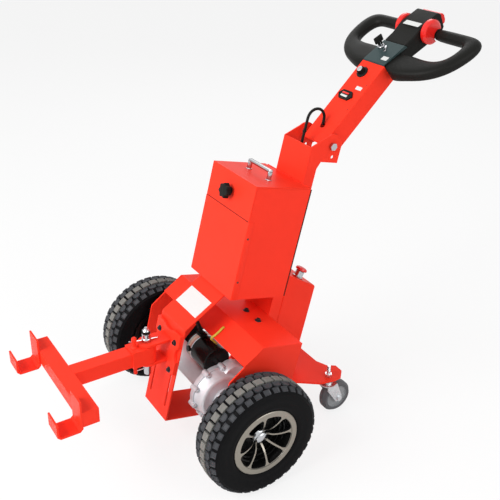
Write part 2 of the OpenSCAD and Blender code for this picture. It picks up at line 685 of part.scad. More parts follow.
module control_tower() color([0.05, 0.05, 0.06]) at_head() {
    w = tower_w / 2;
    slab(-w, tower_w) polygon([[62, -36], [62, -4], [92, 0], [84, 10], [118, 14], [150, tower_n - 2],
        [158, tower_n], [tower_s - 8, tower_n], [tower_s, tower_n - 8], [tower_s, -22], [tower_s - 14, -36]]);
}

module drive_paddles() color([0.75, 0.05, 0.05]) at_head() both() difference() {
    translate([grip_s - 16, tower_w / 2, head_n + 19]) spun() polygon([[0, 0], [paddle_r - 4, 0],
        [paddle_r, 4], [paddle_r, paddle_t - 5], [paddle_r - 6, paddle_t], [0, paddle_t]]);
    translate([grip_s, 0, head_n]) cross(hand_r + 0.3, 0, head_w);
}

module belly_switch() color([0.75, 0.05, 0.05]) at_head() slab(-tower_w / 2 + 6, tower_w - 12)
    polygon([[tower_s, -18], [tower_s + belly - 4, -16], [tower_s + belly, -8], [tower_s + belly, 6],
        [tower_s + belly - 5, 14], [tower_s, 16]]);

module key_switch() color([0.80, 0.81, 0.83]) at_head() translate([2, 26, 4]) rotate([0, -atan(6 / 82), 0])
    translate([56, 0, 0]) {
    cylinder(r = 10, h = 5);
    cylinder(r = 7, h = 8);
    translate([-9, -1.2, 8]) cube([18, 2.4, 18]);
}

module speed_dial() color([0.05, 0.05, 0.05]) at_arm() translate([arm_len - 36, 13, arm_top]) {
    cylinder(r = dial_r + 4, h = 3);
    cylinder(r = dial_r, h = 15);
}

module charge_gauge() color([0.06, 0.06, 0.07]) at_arm() translate([arm_len - 116, 7, arm_top])
    linear_extrude(6) polygon([[-14, -16], [0, -28], [14, -16], [14, 16], [0, 28], [-14, 16]]);

spine_plate();
saddle();
column();
column_sides();
controller_box();
caster_plate();
battery_box();
battery_pack();
gear_casing();
motor();
hitch_bracket();
hitch_pin();
tiller_bolt();
stop_button();
caster_stems();
tiller_cable();
lid();
lid_handle();
lid_knob();
tiller_arm();
tiller_head();
head_panel();
control_tower();
drive_paddles();
belly_switch();
key_switch();
speed_dial();
charge_gauge();
receiver();
tow_bar();
cross_bar();
tow_hooks();
drop_pin();
tyre_right();
rim_right();
shaft_right();
tyre_left();
rim_left();
shaft_left();
fork_right();
caster_hub_right();
caster_tyre_right();
fork_left();
caster_hub_left();
caster_tyre_left();
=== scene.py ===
# %% [markdown]
# # An electric tow tractor, dressed
# A walk-behind tug is red sheet metal on two tyres, with a black looped handle.
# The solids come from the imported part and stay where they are. This script adds finishes,
# soft edges, finer forms of some pieces and small fittings, then the studio and the camera.

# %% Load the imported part
import bpy
import bmesh
import json
import math
from mathutils import Matrix, Vector


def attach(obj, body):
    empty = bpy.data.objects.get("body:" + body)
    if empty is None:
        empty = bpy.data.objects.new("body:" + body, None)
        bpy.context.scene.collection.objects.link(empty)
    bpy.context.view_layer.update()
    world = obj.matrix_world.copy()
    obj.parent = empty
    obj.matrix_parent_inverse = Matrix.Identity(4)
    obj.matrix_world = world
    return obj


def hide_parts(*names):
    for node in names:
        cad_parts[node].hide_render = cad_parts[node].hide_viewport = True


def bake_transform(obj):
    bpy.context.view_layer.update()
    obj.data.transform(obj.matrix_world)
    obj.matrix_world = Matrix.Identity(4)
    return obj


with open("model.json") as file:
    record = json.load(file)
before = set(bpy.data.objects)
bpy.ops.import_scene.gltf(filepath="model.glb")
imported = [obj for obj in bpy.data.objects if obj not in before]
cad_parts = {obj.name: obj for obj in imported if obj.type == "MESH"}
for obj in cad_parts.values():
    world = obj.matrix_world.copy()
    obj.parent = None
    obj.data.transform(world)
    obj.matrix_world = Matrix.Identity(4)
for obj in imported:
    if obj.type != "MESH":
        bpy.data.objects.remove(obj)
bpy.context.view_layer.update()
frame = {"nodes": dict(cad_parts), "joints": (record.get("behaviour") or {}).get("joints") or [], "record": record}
nodes = frame["nodes"]
pivots = {j["name"]: Vector(j["pos_m"]) for j in frame["joints"]}

# %% [markdown]
# Four local frames save arithmetic later. The column and box lean back, the tiller arm
# rises from its pivot, the head lies flatter at the arm's end, and the last frame stands on
# the floor under the axle. A point written in millimetres in one of these frames is carried
# to the part's own frame by one matrix.

# %% Local frames of the leaning body, the arm, the head and the floor
MM = 0.001
LEAN_TILT, ARM_TILT, HEAD_TILT = 13.3, -44.5, -28
ARM_LENGTH, ARM_TOP = 258, 13.5
axle = pivots["left_wheel"]
tiller = pivots["tiller_fold"]


def turned_about_y(place, degrees):
    turn = Matrix.Rotation(math.radians(degrees), 4, "Y")
    return Matrix.Translation(place) @ turn @ Matrix.Scale(MM, 4)


LEAN = turned_about_y((axle.x + 30 * MM, 0, 460.6 * MM), LEAN_TILT)
ARM = turned_about_y(tiller, ARM_TILT)
arm_end = ARM @ Vector((ARM_LENGTH, 0, ARM_TOP))
HEAD = turned_about_y(arm_end, HEAD_TILT)
GROUND = Matrix.Translation((axle.x, 0, 0)) @ Matrix.Scale(MM, 4)
print("arm end at", [round(c, 3) for c in arm_end])

# %% [markdown]
# ## Finishes
# Powder coat, moulded plastic, rubber and cast alloy differ in colour, gloss and grain.
# One recipe covers them: a slow noise shifts the colour, a fast one roughens the surface.
# Both read Object coordinates, so the pattern sits still on the piece in every view.

# %% One recipe for all finishes
MIX_FACTOR, MIX_A, MIX_B, MIX_OUT = 0, 6, 7, 2  # sockets of a colour mix


def finish_of(name, colour, rough, metal=0.0, shift=0.06, blotch=14.0, grain=700.0,
              depth=0.06, coat=0.0, spread=0.08, sheen=0.5):
    mat = bpy.data.materials.new(name)
    mat.use_nodes = True
    nt = mat.node_tree
    shader = nt.nodes["Principled BSDF"]
    shader.inputs["Metallic"].default_value = metal
    shader.inputs["Coat Weight"].default_value = coat
    shader.inputs["Specular IOR Level"].default_value = sheen
    shader.inputs["Coat Roughness"].default_value = 0.08
    where = nt.nodes.new("ShaderNodeTexCoord")
    slow = nt.nodes.new("ShaderNodeTexNoise")
    slow.inputs["Scale"].default_value = blotch
    slow.inputs["Detail"].default_value = 4
    fast = nt.nodes.new("ShaderNodeTexNoise")
    fast.inputs["Scale"].default_value = grain
    fast.inputs["Detail"].default_value = 2
    for tex in (slow, fast):
        nt.links.new(where.outputs["Object"], tex.inputs["Vector"])
    tint = nt.nodes.new("ShaderNodeMix")
    tint.data_type = "RGBA"
    tint.inputs[MIX_A].default_value = [c * (1 - shift) for c in colour] + [1]
    tint.inputs[MIX_B].default_value = [min(1, c * (1 + shift)) for c in colour] + [1]
    nt.links.new(slow.outputs["Fac"], tint.inputs[MIX_FACTOR])
    nt.links.new(tint.outputs[MIX_OUT], shader.inputs["Base Color"])
    gloss = nt.nodes.new("ShaderNodeMapRange")
    gloss.inputs["To Min"].default_value = max(0.02, rough - spread)
    gloss.inputs["To Max"].default_value = min(1, rough + spread)
    nt.links.new(slow.outputs["Fac"], gloss.inputs["Value"])
    nt.links.new(gloss.outputs["Result"], shader.inputs["Roughness"])
    bump = nt.nodes.new("ShaderNodeBump")
    bump.inputs["Strength"].default_value = depth
    bump.inputs["Distance"].default_value = 0.001
    nt.links.new(fast.outputs["Fac"], bump.inputs["Height"])
    nt.links.new(bump.outputs["Normal"], shader.inputs["Normal"])
    return mat


print("recipe ready")

# %% Paint, plastic and rubber
red_coat = finish_of("red_powder_coat", (0.90, 0.039, 0.018), 0.38,
                     shift=0.05, grain=520, depth=0.05, sheen=0.07)
black_moulding = finish_of("black_moulding", (0.011, 0.011, 0.010), 0.42,
                           grain=1600, depth=0.18, sheen=0.08)
black_lacquer = finish_of("black_lacquer", (0.006, 0.006, 0.006), 0.2,
                          grain=400, depth=0.04, coat=0.05, sheen=0.12)
side_rubber = finish_of("side_rubber", (0.0045, 0.0045, 0.005), 0.5,
                        shift=0.3, blotch=40, grain=900, depth=0.12, sheen=0.05)
tread_rubber = finish_of("tread_rubber", (0.030, 0.032, 0.037), 0.6,
                         shift=0.25, blotch=40, grain=900, depth=0.2, sheen=0.4)
worn_rubber = finish_of("worn_rubber", (0.17, 0.165, 0.152), 0.85,
                        shift=0.2, blotch=60, grain=900, depth=0.25, sheen=0.3)
grey_rubber = finish_of("grey_rubber", (0.085, 0.085, 0.092), 0.6, grain=900, depth=0.15)
grey_moulding = finish_of("grey_moulding", (0.26, 0.27, 0.28), 0.5, grain=900, depth=0.1)
red_moulding = finish_of("red_moulding", (0.78, 0.016, 0.012), 0.25,
                         grain=600, depth=0.05, coat=0.2, sheen=0.4)
slate_plate = finish_of("slate_plate", (0.032, 0.054, 0.056), 0.4,
                        grain=1200, depth=0.1, sheen=0.15)
white_label = finish_of("white_label", (0.66, 0.67, 0.66), 0.45, shift=0.03, depth=0.03)
striped_sleeve = finish_of("striped_sleeve", (0.55, 0.42, 0.03), 0.5,
                           shift=0.35, blotch=90, depth=0.05)
# painted shade: a dark shaded red that stands in for the shadow in the gap under the lid's skirt and behind the
# box's back edges
painted_seam_shade = finish_of("painted_seam_shade", (0.045, 0.006, 0.004), 0.6, depth=0.05, sheen=0.1)
print("finishes:", len(bpy.data.materials))

# %% Metals
cast_alloy = finish_of("cast_alloy", (0.60, 0.61, 0.64), 0.4, metal=0.35,
                       shift=0.1, blotch=60, grain=1300, depth=0.3)
bright_chrome = finish_of("bright_chrome", (0.50, 0.51, 0.53), 0.14, metal=1.0,
                          shift=0.03, depth=0.02, spread=0.04)
zinc_plate = finish_of("zinc_plate", (0.68, 0.70, 0.72), 0.28, metal=0.95,
                       shift=0.08, blotch=50, depth=0.08)
dark_steel = finish_of("dark_steel", (0.02, 0.02, 0.021), 0.35, metal=0.4, depth=0.08)
brown_band = finish_of("brown_band", (0.56, 0.42, 0.34), 0.35, metal=0.6,
                       shift=0.2, blotch=60, depth=0.1)
silver_cap = finish_of("silver_cap", (0.55, 0.56, 0.57), 0.3, metal=0.8,
                       grain=1500, depth=0.1)
print("finishes:", len(bpy.data.materials))

# %% [markdown]
# ## Sheet metal with soft edges
# Folded and painted sheet has no razor edges: each bend and cut catches a thin highlight.
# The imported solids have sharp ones, so each gets a copy with its triangles merged back into
# flat faces and a small bevel on every edge that turns by more than 30 degrees. Round pieces
# get a smooth copy without the bevel.

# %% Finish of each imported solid
finish_by_node = {
    red_coat: "spine_plate saddle column column_sides controller_box caster_plate battery_box"
              " lid hitch_bracket receiver tow_bar cross_bar tow_hooks tiller_arm",
    black_moulding: "lid_knob control_tower speed_dial charge_gauge battery_pack tiller_cable"
                    " tiller_head",
    black_lacquer: "motor",
    cast_alloy: "gear_casing",
    bright_chrome: "hitch_pin tiller_bolt lid_handle key_switch shaft_left shaft_right",
    zinc_plate: "caster_stems fork_left fork_right",
    red_moulding: "stop_button drive_paddles belly_switch",
    slate_plate: "head_panel",
    grey_moulding: "caster_hub_left caster_hub_right",
    grey_rubber: "caster_tyre_left caster_tyre_right",
    tread_rubber: "tyre_left tyre_right",
}
record = frame["record"]
body_of_node = {n: b for b, ns in record["behaviour"]["bodies"].items() for n in ns}
finish_of_node = {n: m for m, names in finish_by_node.items() for n in names.split()}
for node, mat in finish_of_node.items():
    nodes[node].data.materials.clear()
    nodes[node].data.materials.append(mat)
print("solids with a finish:", len(finish_of_node))


# %% Helpers that show a piece and soften its edges
def show(bm, name, mat, body, stands_for=(), smooth=30):
    mesh = bpy.data.meshes.new(name)
    bm.to_mesh(mesh)
    bm.free()
    mesh.shade_smooth()
    mesh.set_sharp_from_angle(angle=math.radians(smooth))
    piece = bpy.data.objects.new(name, mesh)
    bpy.context.scene.collection.objects.link(piece)
    mesh.materials.append(mat)
    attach(piece, body)
    if stands_for:
        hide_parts(*stands_for)
    return piece


def soften(piece, width):
    edge = piece.modifiers.new("soft edge", "BEVEL")
    edge.width = width * MM
    edge.segments = 3
    edge.limit_method = "ANGLE"
    edge.angle_limit = math.radians(30)
    edge.harden_normals = True


def round_edges(bm, edges, offset, segments):
    bmesh.ops.bevel(bm, geom=edges, offset=offset, affect="EDGES", segments=segments,
                    profile=0.5, material=-1)


def only(kind, geom):
    return [g for g in geom if isinstance(g, kind)]


VERT, EDGE, FACE = bmesh.types.BMVert, bmesh.types.BMEdge, bmesh.types.BMFace
print("piece helpers ready")

# %% Soft-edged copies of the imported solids
MERGE_WITHIN, FLAT_WITHIN, COMMON_EDGE = 1e-6, math.radians(0.5), 0.8
edge_width = {"battery_box": 2.0, "lid": 1.2, "controller_box": 3.0, "control_tower": 5.0}
sheet_metal = ("saddle column column_sides controller_box caster_plate battery_box lid"
               " hitch_bracket receiver tow_bar cross_bar tow_hooks tiller_arm control_tower"
               " head_panel belly_switch caster_stems fork_left fork_right").split()
round_work = ("tiller_bolt drive_paddles shaft_left shaft_right caster_hub_left"
              " caster_hub_right caster_tyre_left caster_tyre_right").split()


def soft_copy(node, width):
    bm = bmesh.new()
    bm.from_mesh(nodes[node].data)
    bmesh.ops.remove_doubles(bm, verts=bm.verts, dist=MERGE_WITHIN)
    bmesh.ops.dissolve_limit(bm, angle_limit=FLAT_WITHIN, verts=bm.verts, edges=bm.edges)
    piece = show(bm, node + "_soft", finish_of_node[node], body_of_node[node],
                 [node])
    if width:
        soften(piece, width)


for node in sheet_metal:
    soft_copy(node, edge_width.get(node, COMMON_EDGE))
for node in round_work:
    soft_copy(node, 0)
print("soft-edged:", len(sheet_metal), "smooth:", len(round_work))

# %% [markdown]
# ## The folded spine plate
# One strip of thick sheet makes the slope under the box, the upright plate for the hitch
# and the foot under the gears. It is folded here as on a press brake: a line of bends is
# pulled out to a sheet, two slots are cut into the upright part, and the sheet thickened.

# %% Fold, slot and thicken the strip
UPRIGHT, FOOT = -92.5, -390
bends = [(107.5, FOOT), (UPRIGHT, FOOT), (UPRIGHT, -105.5), (13, 0), (181.5, 0)]
strip_half, strip_thick = 63.5, 5
slot_edges, slot_low, slot_high = (40, 46), -352, -130


def lies_in_slot(face):
    x, y, z = face.calc_center_median()
    return x < UPRIGHT + 0.5 and slot_low < z < slot_high and slot_edges[0] < abs(y) < slot_edges[1]


bm = bmesh.new()
line = [bm.verts.new((u, -strip_half, w)) for u, w in bends]
edges = [bm.edges.new(pair) for pair in zip(line, line[1:])]
pulled = bmesh.ops.extrude_edge_only(bm, edges=edges)["geom"]
bmesh.ops.translate(bm, vec=(0, 2 * strip_half, 0), verts=only(VERT, pulled))
cuts = [((0, side * y, 0), (0, 1, 0)) for y in slot_edges for side in (-1, 1)]
cuts += [((0, 0, w), (0, 0, 1)) for w in (slot_low, slot_high)]
for place, way in cuts:
    everything = bm.verts[:] + bm.edges[:] + bm.faces[:]
    bmesh.ops.bisect_plane(bm, geom=everything, plane_co=place, plane_no=way)
bmesh.ops.delete(bm, geom=[f for f in bm.faces if lies_in_slot(f)], context="FACES")
bmesh.ops.solidify(bm, geom=bm.faces[:], thickness=-strip_thick)
bmesh.ops.recalc_face_normals(bm, faces=bm.faces)
print("strip from", [round(min(v.co[i] for v in bm.verts), 1) for i in range(3)],
      "to", [round(max(v.co[i] for v in bm.verts), 1) for i in range(3)])
bmesh.ops.transform(bm, verts=bm.verts, matrix=LEAN)
strip = show(bm, "spine_strip", red_coat, "chassis", ["spine_plate"])
soften(strip, 1.2)

# %% [markdown]
# ## Tyres
# The drive tyres carry five rows of rubber blocks on a round-shouldered carcass. The middle
# row is plain and worn pale, the next ones end round and are hollow, the shoulder rows are
# small hollow squares. A profile spun round the axle makes the carcass.

# %% Carcass and block shapes
SIDE = {"right": -1, "left": 1}
BLOCKS = 36
TOP_TAPER, HOLLOW_DEPTH = 0.96, 2.2


def spun(line, axis, steps):
    bm = bmesh.new()
    ring = [bm.verts.new(p) for p in line]
    edges = [bm.edges.new(pair) for pair in zip(ring, ring[1:])]
    bmesh.ops.spin(bm, geom=ring + edges, cent=(0, 0, 0), axis=axis, angle=math.tau,
                   steps=steps, use_merge=True)
    bmesh.ops.remove_doubles(bm, verts=bm.verts, dist=1e-4)
    bmesh.ops.recalc_face_normals(bm, faces=bm.faces)
    return bm


def tread_block(outline, height, hollow):
    bm = bmesh.new()
    foot = bm.faces.new([bm.verts.new((-height, y, z)) for y, z in outline])
    raised = bmesh.ops.extrude_face_region(bm, geom=[foot])["geom"]
    for v in only(VERT, raised):
        v.co = (0, v.co.y * TOP_TAPER, v.co.z * TOP_TAPER)
    top = only(FACE, raised)[0]
    bmesh.ops.recalc_face_normals(bm, faces=bm.faces)
    rim_edges = top.edges[:]
    if hollow:
        bmesh.ops.inset_region(bm, faces=[top], thickness=hollow, depth=-HOLLOW_DEPTH)
    round_edges(bm, rim_edges, 0.8, 1)
    mesh = bpy.data.meshes.new("block")
    bm.to_mesh(mesh)
    bm.free()
    return mesh


# radius and distance from the middle plane
carcass = [(85, -44), (96, -44.5), (99, -47), (108, -50), (112, -49.2), (124, -51.3),
           (138, -51), (146, -50.2), (147, -49.2), (151.5, -47), (155, -42), (157.5, -34),
           (158.5, -22), (158.5, 22), (157.5, 34), (155, 42), (151.5, 47), (147, 49.2),
           (146, 50.2), (138, 51), (124, 51.3), (112, 49.2), (108, 50), (99, 47),
           (96, 44.5), (85, 44), (85, -44)]
plain = [(-10.6, -11.8), (10.6, -10.6), (10.6, 11.8), (-10.6, 10.6)]
round_ended = [(-9, -11.5), (2.5, -11.5), (7, -8.5), (9, 0), (7, 8.5), (2.5, 11.5), (-9, 11.5)]
square = [(-7.5, -9), (7.5, -9), (7.5, 9), (-7.5, 9)]
print("block outlines:", len(plain), len(round_ended), len(square))

# %% Rows of blocks round each tyre
# outline, height, hollow, radius of the top, distance from the middle plane, lean, pitch offset
crown_rows = [(plain, 9, 0, 165, 0, 0, 0.0)]
side_rows = [(round_ended, 8, 3.4, 163.4, 22.6, 3, 0.5), (square, 6, 3.4, 158.4, 41.5, 30, 0.0)]
both_kinds = [("crown_", worn_rubber, crown_rows, (1,)), ("tread_", tread_rubber, side_rows, (1, -1))]


def set_rows(bm, rows, sides):
    for outline, height, hollow, radius, aside, lean, offset in rows:
        shape = tread_block(outline, height, hollow)
        tipped = Matrix.Translation((radius, aside, 0)) @ Matrix.Rotation(math.radians(lean), 4, "Z")
        for way in sides:
            flip = Matrix.Rotation(math.pi, 4, "X") if way < 0 else Matrix.Identity(4)
            for i in range(BLOCKS):
                before = len(bm.verts)
                bm.from_mesh(shape)
                bm.verts.ensure_lookup_table()
                angle = math.radians(90) + math.tau * (i + offset) / BLOCKS
                turn = Matrix.Rotation(angle, 4, "Y")
                bmesh.ops.transform(bm, verts=bm.verts[before:], matrix=turn @ flip @ tipped)
        bpy.data.meshes.remove(shape)


for side, sign in SIDE.items():
    hub = Matrix.Translation((axle.x, sign * abs(axle.y), axle.z)) @ Matrix.Scale(MM, 4)
    bm = spun([(r, y, 0) for r, y in carcass], (0, 1, 0), 96)
    bmesh.ops.transform(bm, verts=bm.verts, matrix=hub)
    show(bm, "carcass_" + side, side_rubber, "wheel_" + side, ["tyre_" + side])
    for name, mat, rows, sides in both_kinds:
        bm = bmesh.new()
        set_rows(bm, rows, sides)
        bmesh.ops.transform(bm, verts=bm.verts, matrix=hub)
        show(bm, name + side, mat, "wheel_" + side)
print("tread blocks per tyre:", BLOCKS * 5)


# %% [markdown]
# ## Small shapes to build with
# Bolts, plates and knobs repeat a few shapes: a bevelled slab, a turned profile and a tube
# along a route. Each helper makes one around its own origin, in millimetres. stamp() sets
# a shape into a piece at a given place, and assemble() makes a piece from several of them.

# %% Slabs, turned parts and tubes
def slab(size, soft, segments=2):
    bm = bmesh.new()
    bmesh.ops.create_cube(bm, size=1)
    bmesh.ops.scale(bm, vec=size, verts=bm.verts)
    round_edges(bm, bm.edges[:], soft, segments)
    return bm


def turned(profile, steps):
    return spun([(r, 0, z) for r, z in profile], (0, 0, 1), steps)


def skin(bm, rings):
    for one, two in zip(rings, rings[1:]):
        bmesh.ops.bridge_loops(bm, edges=one + two)
    for end in (rings[0], rings[-1]):
        bmesh.ops.contextual_create(bm, geom=end)
    bmesh.ops.recalc_face_normals(bm, faces=bm.faces)


def tube(points, radius, sides):
    bm = bmesh.new()
    route = [Vector(p) for p in points]
    rings = []
    for i, here in enumerate(route):
        ahead = (route[min(i + 1, len(route) - 1)] - route[max(i - 1, 0)]).normalized()
        if i == 0:
            turn = ahead.to_track_quat("Z", "Y").to_matrix().to_4x4()
        else:
            turn = last.rotation_difference(ahead).to_matrix().to_4x4() @ turn
        last = ahead
        ring = bmesh.ops.create_circle(bm, segments=sides, radius=radius,
                                       matrix=Matrix.Translation(here) @ turn)["verts"]
        rings.append(list({e for v in ring for e in v.link_edges}))
    skin(bm, rings)
    return bm


print("shapes ready")


# %% Places and assembly
def at(x, y, z, tip=0.0, roll=0.0):
    tipped = Matrix.Rotation(math.radians(tip), 4, "Y")
    return Matrix.Translation((x, y, z)) @ tipped @ Matrix.Rotation(math.radians(roll), 4, "Z")


def about_x(degrees):
    return Matrix.Rotation(math.radians(degrees), 4, "X")


def stamp(bm, part, place):
    mesh = bpy.data.meshes.new("stamp")
    part.to_mesh(mesh)
    part.free()
    before = len(bm.verts)
    bm.from_mesh(mesh)
    bpy.data.meshes.remove(mesh)
    bm.verts.ensure_lookup_table()
    bmesh.ops.transform(bm, verts=bm.verts[before:], matrix=place)


def assemble(name, mat, body, parts, stands_for=(), smooth=30):
    bm = bmesh.new()
    for part, place in parts:
        stamp(bm, part, place)
    return show(bm, name, mat, body, stands_for, smooth)


print("assembly ready")


# %% [markdown]
# ## Rims
# The alloy rims are lacquered black, with a stepped well, and machined bright on the face:
# a flat ring and eight thin spokes that fall back to the hub. The well is a turned profile.
# One spoke is pulled outwards edge by edge, thickened, and repeated round the hub.

# %% Two-tone rim finish
def machined_face(name, sign):
    mat = finish_of(name, (0.30, 0.275, 0.235), 0.3, metal=1.0, shift=0.06, blotch=80,
                    grain=300, depth=0.03)
    nt = mat.node_tree
    shader = nt.nodes["Principled BSDF"]
    coords = next(n for n in nt.nodes if n.type == "TEX_COORD")
    split = nt.nodes.new("ShaderNodeSeparateXYZ")
    nt.links.new(coords.outputs["Normal"], split.inputs["Vector"])
    outward = nt.nodes.new("ShaderNodeMapRange")
    outward.inputs["From Min"].default_value = 0.35 * sign
    outward.inputs["From Max"].default_value = 0.5 * sign
    nt.links.new(split.outputs["Y"], outward.inputs["Value"])
    bare_metal = shader.inputs["Base Color"].links[0].from_socket
    two_tone = nt.nodes.new("ShaderNodeMix")
    two_tone.data_type = "RGBA"
    two_tone.inputs[MIX_A].default_value = (0.008, 0.008, 0.009, 1)
    nt.links.new(outward.outputs["Result"], two_tone.inputs[MIX_FACTOR])
    nt.links.new(bare_metal, two_tone.inputs[MIX_B])
    nt.links.new(two_tone.outputs[MIX_OUT], shader.inputs["Base Color"])
    nt.links.new(outward.outputs["Result"], shader.inputs["Metallic"])
    return mat


print("rim finish ready")

# %% Profiles of the well, the ring and a spoke
well = [(79, 44), (84.2, 44.8), (84.2, -44.8), (96, -44.8), (96, -48.5), (82, -48.5),
        (79, -46), (79, -30), (66, -18), (27, -16), (27, -44.5), (15.2, -44.5), (15.2, 14.5),
        (20, 14.5), (21.5, 13), (23, -8), (58, -6), (60, 0), (66, 1), (67, 10), (71, 11),
        (72, 22), (75.5, 23), (76.5, 36), (79, 44)]
bright_ring = [(79, 45.2), (80.5, 48.5), (94.5, 48.5), (96, 47), (96, 44.9), (84, 44.9), (79, 45.2)]
# radius, half width, height over the middle plane
spoke_line = [(17, 3.2, 14), (22, 2.9, 21), (30, 2.5, 30), (40, 2.4, 36.5), (50, 2.4, 40.5),
              (60, 2.5, 43.3), (68, 2.8, 45), (72, 3.7, 45.7), (75, 5.2, 46.2), (77, 7, 46.5),
              (78.3, 9.2, 46.7), (79, 13, 46.8), (80.5, 16, 47)]
SPOKES, SPOKE_TURN, SPOKE_THICK = 8, 5, 7
print("rim profile points:", len(well) + len(bright_ring) + len(spoke_line))


# %% Wells, bright rings and spokes
def is_outer_end(edge):
    return edge.is_boundary and abs(edge.verts[0].co.x - edge.verts[1].co.x) < 0.1


def spokes():
    bm = bmesh.new()
    radius, half, height = spoke_line[0]
    tip = [bm.edges.new([bm.verts.new((radius, half * way, height)) for way in (-1, 1)])]
    for radius, half, height in spoke_line[1:]:
        pulled = bmesh.ops.extrude_edge_only(bm, edges=tip)["geom"]
        for v in only(VERT, pulled):
            v.co = (radius, math.copysign(half, v.co.y), height)
        tip = [e for e in only(EDGE, pulled) if is_outer_end(e)]
    bmesh.ops.recalc_face_normals(bm, faces=bm.faces)
    if bm.faces[:][0].normal.z < 0:
        bmesh.ops.reverse_faces(bm, faces=bm.faces)
    foot = bmesh.ops.extrude_face_region(bm, geom=bm.faces[:], use_keep_orig=True)["geom"]
    bmesh.ops.translate(bm, vec=(0, 0, -SPOKE_THICK), verts=only(VERT, foot))
    bmesh.ops.recalc_face_normals(bm, faces=bm.faces)
    first_turn = Matrix.Rotation(math.radians(SPOKE_TURN), 3, "Z")
    bmesh.ops.rotate(bm, verts=bm.verts, cent=(0, 0, 0), matrix=first_turn)
    bmesh.ops.spin(bm, geom=bm.verts[:] + bm.edges[:] + bm.faces[:], cent=(0, 0, 0),
                   axis=(0, 0, 1), angle=math.tau * (SPOKES - 1) / SPOKES, steps=SPOKES - 1,
                   use_duplicate=True)
    return bm


for side, sign in SIDE.items():
    hub = Matrix.Translation((axle.x, sign * abs(axle.y), axle.z))
    outward = hub @ about_x(-90 * sign) @ Matrix.Scale(MM, 4)
    rim, wheel = "rim_" + side, "wheel_" + side
    assemble("rim_well_" + side, black_lacquer, wheel,
             [(turned(well, 72), outward)], [rim])
    assemble("rim_face_" + side, machined_face("machined_rim_" + side, sign), wheel,
             [(turned(bright_ring, 72), outward), (spokes(), outward)])
print("spokes per rim:", SPOKES)

# %% [markdown]
# ## The looped head
# The handle is one black moulding: two loops that are broad and flat beside the arm and
# turn into round grips at the far end. Rings of points are set along the loop, flat ones
# first and round ones last, and bridged into one skin that a subdivision smooths.

# %% Stations along one loop
# front edge (s, y), window edge (s, y), middle height, half thickness, squareness
loop_stations = [
    ((2, 0), (64, 0), -26, 25, 5), ((1, 26), (64, 26), -26, 25, 5),
    ((-4, 44), (70, 46), -25, 24, 4.5), ((-8, 64), (77, 66), -23, 21, 4),
    ((-5, 92), (76, 92), -21, 19, 3.6), ((2, 114), (75, 111), -20, 18, 3.3),
    ((10, 138), (76, 128), -20, 17.5, 3), ((22, 161), (79, 145), -20, 17.3, 2.8),
    ((40, 182), (85, 159), -20, 17.2, 2.6), ((62, 199), (94, 169), -20, 17, 2.5),
    ((88, 211), (106, 174.5), -20, 17, 2.4), ((115, 218), (120, 177), -20, 17, 2.3),
    ((142, 222), (135, 177.5), -20, 17, 2.3), ((166, 222), (148, 176), -20, 17, 2.2),
    ((186, 217), (159, 172), -20, 17, 2.1), ((199, 205), (166, 166), -20, 17, 2),
    ((204.5, 187), (170, 157), -20, 17, 2), ((205, 165), (171, 148), -20, 17, 2),
    ((205, 105), (171, 105), -20, 17, 2), ((205, 43), (171, 43), -20, 17, 2)]
mirrored = [((f[0], -f[1]), (w[0], -w[1]), n, t, q) for f, w, n, t, q in loop_stations[:0:-1]]
both_ways = mirrored + loop_stations
print("loop rings:", len(both_ways))

# %% Two loops as one bridged skin
RING_POINTS = 20
ARM_HALF, ARM_CUT, ARM_SLOPE = 46, 0.5, 0.297  # the skin stays clear of the arm's slanted end
bm = bmesh.new()
rings = []
for front, window, mid, thick, squareness in both_ways:
    ring = bmesh.ops.create_circle(bm, segments=RING_POINTS, radius=1)["verts"]
    rings.append(list({e for v in ring for e in v.link_edges}))
    front, window = Vector(front), Vector(window)
    middle, reach = (front + window) / 2, (window - front) / 2
    for v in ring:
        c, d = (math.copysign(abs(k) ** (2 / squareness), k) for k in (v.co.x, v.co.y))
        height = mid + thick * d
        flat = middle + reach * c
        if abs(flat.y) < ARM_HALF:
            flat.x = max(flat.x, ARM_CUT - ARM_SLOPE * height)
        v.co = (flat.x, flat.y, height)
skin(bm, rings)
bmesh.ops.transform(bm, verts=bm.verts, matrix=HEAD)
head = show(bm, "head_loops", black_moulding, "tiller", ["tiller_head"], smooth=50)
rounder = head.modifiers.new("rounder", "SUBSURF")
rounder.levels = rounder.render_levels = 1
print("head faces before smoothing:", len(head.data.polygons))

# %% [markdown]
# ## Head fittings
# The slate panel carries a key switch and a blank sticker, the hood a blank label. On the
# arm sit a speed dial with a silver cap and a six-sided charge gauge with a red window.

# %% Key switch with its keys
PANEL = HEAD @ at(2, 0, 4, tip=-math.degrees(math.atan(6 / 82)))
KEY, KEY_ROLL = PANEL @ at(56, 26, 0), -8
barrel = turned([(0, 4), (4.5, 4), (5.5, 7), (9, 7), (10.5, 5), (11, 0), (0, 0)], 28)
spare_key = slab((26, 7, 1.6), 0.5)
blade = slab((2.2, 7, 14), 0.5)
assemble("key_barrel", bright_chrome, "tiller",
         [(barrel, KEY), (spare_key, PANEL @ at(52, 6, 2.2, roll=38)),
          (blade, KEY @ at(0, 0, 9, roll=KEY_ROLL))], ["key_switch"])
bow = slab((27, 6, 20), 2.6, 3)
neck = slab((14, 5, 10), 1.6, 2)
assemble("key_bow", black_moulding, "tiller",
         [(bow, KEY @ at(0, 0, 26, roll=KEY_ROLL)), (neck, KEY @ at(0, 0, 13, roll=KEY_ROLL))])
print("key set")

